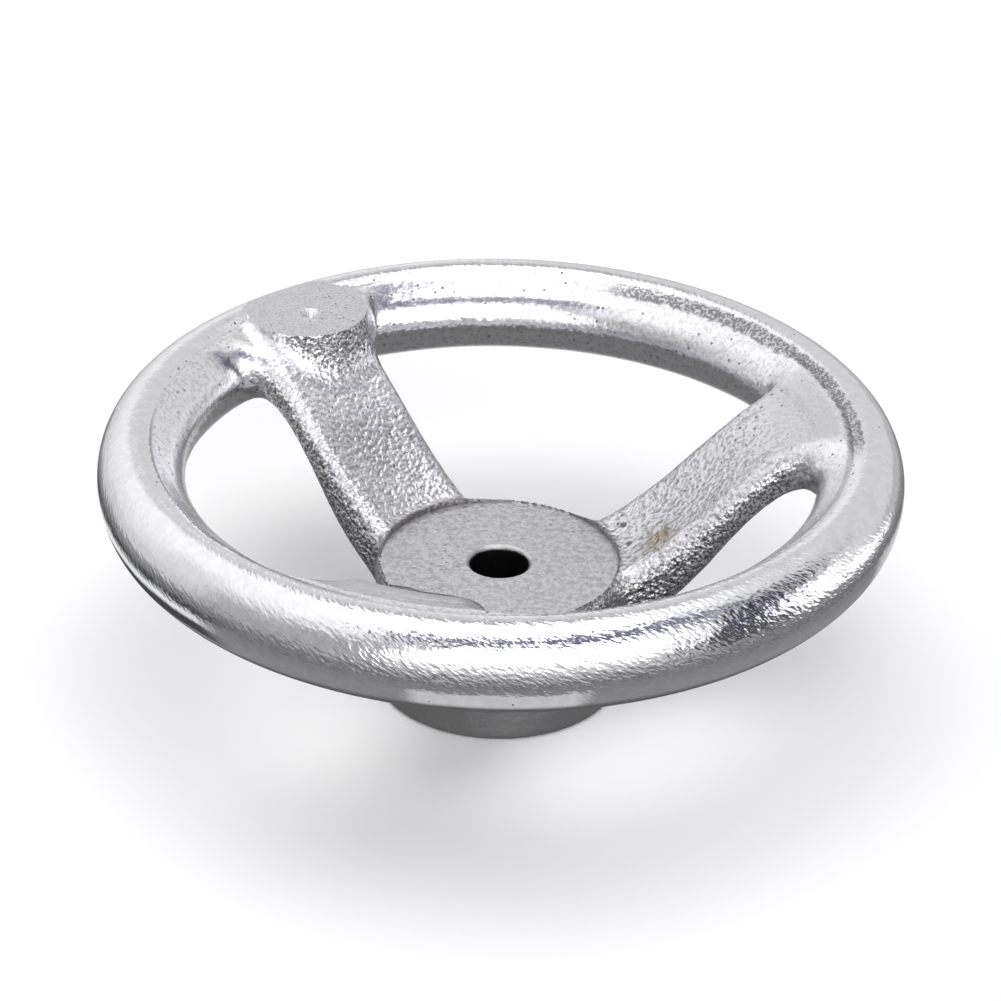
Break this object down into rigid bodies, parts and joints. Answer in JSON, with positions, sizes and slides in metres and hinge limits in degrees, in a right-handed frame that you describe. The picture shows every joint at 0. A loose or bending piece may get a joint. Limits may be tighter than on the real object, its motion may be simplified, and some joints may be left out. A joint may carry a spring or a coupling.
{
  "type": "machine handwheel",
  "caption": "Small dished machine handwheel: plated casting with a turned rim, spokes, a bored hub and a flat pad for a handle.",
  "frame": {"origin": "centre of the pilot bore on the hub's back face", "axes": "+Z along the wheel's axis, from the hub's back face to the side that faces the operator; +X lies in plan 13 degrees clockwise of the first spoke's centreline, seen from the front"},
  "size_m": [0.08, 0.08, 0.029],
  "materials": {
    "plated_casting": "nickel-chrome plating over a casting: bright fine-turned rim, coarse as-cast spokes and hub, dull faced disc and pad"
  },
  "bodies": {
    "root": {"handwheel": "plated_casting"}
  },
  "joints": []
}
